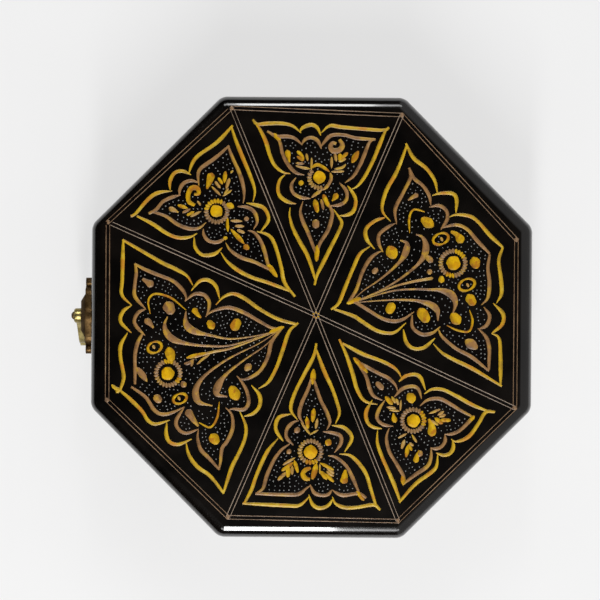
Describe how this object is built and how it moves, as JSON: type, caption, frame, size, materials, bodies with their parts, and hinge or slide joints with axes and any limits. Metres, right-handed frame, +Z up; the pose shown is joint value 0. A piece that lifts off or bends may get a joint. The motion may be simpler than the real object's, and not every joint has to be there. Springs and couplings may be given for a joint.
{
  "type": "octagonal lacquered wooden box",
  "caption": "Eight-sided lacquered wooden box with a hinged lid, a rounded lid edge, raised painted scrollwork, a cloth lining and a brass swing-hook latch.",
  "frame": {"origin": "centre of the bottom face", "axes": "+Z up; -Y towards the front, where the latch is; +Y towards the hinges; +X to the right seen from the front"},
  "size_m": [0.2034, 0.2134, 0.0762],
  "materials": {
    "lacquered_wood": "gloss black lacquer",
    "velvet": "short pile velvet",
    "aged_brass": "aged cast brass",
    "bright_brass": "bright brass",
    "steel_pin": "satin",
    "yellow_paint": "brushed lacquer paint",
    "copper_paint": "brushed lacquer paint",
    "tan_paint": "fine ruled paint"
  },
  "bodies": {
    "box": {"base_panel": "lacquered_wood", "wall_front": "lacquered_wood", "wall_front_right": "lacquered_wood", "wall_right": "lacquered_wood", "wall_back_right": "lacquered_wood", "wall_back": "lacquered_wood", "wall_back_left": "lacquered_wood", "wall_left": "lacquered_wood", "wall_front_left": "lacquered_wood", "floor_lining": "velvet", "lining_front": "velvet", "lining_front_right": "velvet", "lining_right": "velvet", "lining_back_right": "velvet", "lining_back": "velvet", "lining_back_left": "velvet", "lining_left": "velvet", "lining_front_left": "velvet", "hinge_left_body_leaf": "aged_brass", "hinge_left_pin": "steel_pin", "hinge_right_body_leaf": "aged_brass", "hinge_right_pin": "steel_pin", "body_hinge_screws": "aged_brass", "catch_plate": "aged_brass", "catch_nails": "aged_brass", "catch_stud": "bright_brass", "body_side_lines": "tan_paint", "body_scrolls": "yellow_paint", "body_flowers": "yellow_paint"},
    "lid": {"lid_panel": "lacquered_wood", "lid_rim_front": "lacquered_wood", "lid_rim_front_right": "lacquered_wood", "lid_rim_right": "lacquered_wood", "lid_rim_back_right": "lacquered_wood", "lid_rim_back": "lacquered_wood", "lid_rim_back_left": "lacquered_wood", "lid_rim_left": "lacquered_wood", "lid_rim_front_left": "lacquered_wood", "lid_lining": "velvet", "hinge_left_lid_leaf": "aged_brass", "hinge_right_lid_leaf": "aged_brass", "lid_hinge_screws": "aged_brass", "latch_plate": "aged_brass", "latch_nails": "aged_brass", "hook_rivet": "aged_brass", "lid_ruled_lines": "tan_paint", "outer_scrolls": "yellow_paint", "inner_scrolls": "copper_paint", "lid_flowers": "yellow_paint", "lid_sprays": "copper_paint", "lid_side_lines": "tan_paint"},
    "hook": {"hook": "bright_brass"}
  },
  "joints": [
    {"name": "lid_hinge", "type": "hinge", "parent": "box", "child": "lid", "pos_m": [0, 0.0996, 0.05215], "axis": [-1, 0, 0], "range_deg": [0, 105]},
    {"name": "hook_pivot", "type": "hinge", "parent": "lid", "child": "hook", "pos_m": [0, -0.1015, 0.06], "axis": [0, -1, 0], "range_deg": [-20, 120]}
  ]
}
